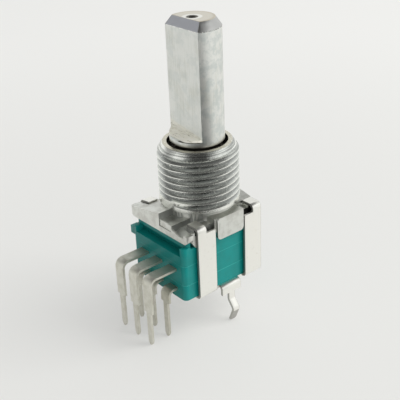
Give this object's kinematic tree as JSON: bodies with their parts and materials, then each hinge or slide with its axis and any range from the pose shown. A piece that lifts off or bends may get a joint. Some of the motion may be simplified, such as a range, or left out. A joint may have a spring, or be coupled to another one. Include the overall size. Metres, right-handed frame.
{
  "type": "rotary potentiometer",
  "caption": "Small dual rotary potentiometer with a metal D-shaft, threaded bushing, folded steel frame, teal body and angled terminals for a circuit board.",
  "frame": {"origin": "on the shaft's axis at the lower end of the bushing's thread, level with the base plate's highest line, where a panel seats", "axes": "+Z along the shaft towards its free end; -Y towards the side where the terminals come out; X across the terminal rows, with the frame's straps on the two X sides"},
  "size_m": [0.0116, 0.0146, 0.0341],
  "materials": {
    "shaft_metal": "bare turned metal, fine marks, light stains",
    "zinc_casting": "bare die-cast zinc, dull on its flats, cut thread",
    "plated_frame": "plated sheet steel, satin",
    "teal_plastic": "moulded, half gloss",
    "tinned_terminal": "tinned strip, dull silver",
    "board_laminate": "paper laminate with a printed dark track",
    "rotor_plastic": "moulded, matte",
    "wiper_bronze": "spring bronze, bright",
    "inner_steel": "bare stamped steel"
  },
  "bodies": {
    "fixed_body": {"bushing_plate": "zinc_casting", "frame": "plated_frame", "top_housing": "teal_plastic", "upper_wafer": "teal_plastic", "lower_wafer": "teal_plastic", "terminal_upper_1": "tinned_terminal", "terminal_upper_2": "tinned_terminal", "terminal_upper_3": "tinned_terminal", "terminal_lower_1": "tinned_terminal", "terminal_lower_2": "tinned_terminal", "terminal_lower_3": "tinned_terminal", "upper_board": "board_laminate", "lower_board": "board_laminate", "thrust_washer": "inner_steel"},
    "turning_shaft": {"shaft": "shaft_metal", "retaining_ring": "inner_steel", "stop_plate": "inner_steel", "upper_rotor": "rotor_plastic", "lower_rotor": "rotor_plastic", "upper_wiper": "wiper_bronze", "lower_wiper": "wiper_bronze"}
  },
  "joints": [
    {"name": "shaft_turn", "type": "hinge", "parent": "fixed_body", "child": "turning_shaft", "pos_m": [0, 0, 0], "axis": [0, 0, 1], "range_deg": [-150, 150]}
  ]
}
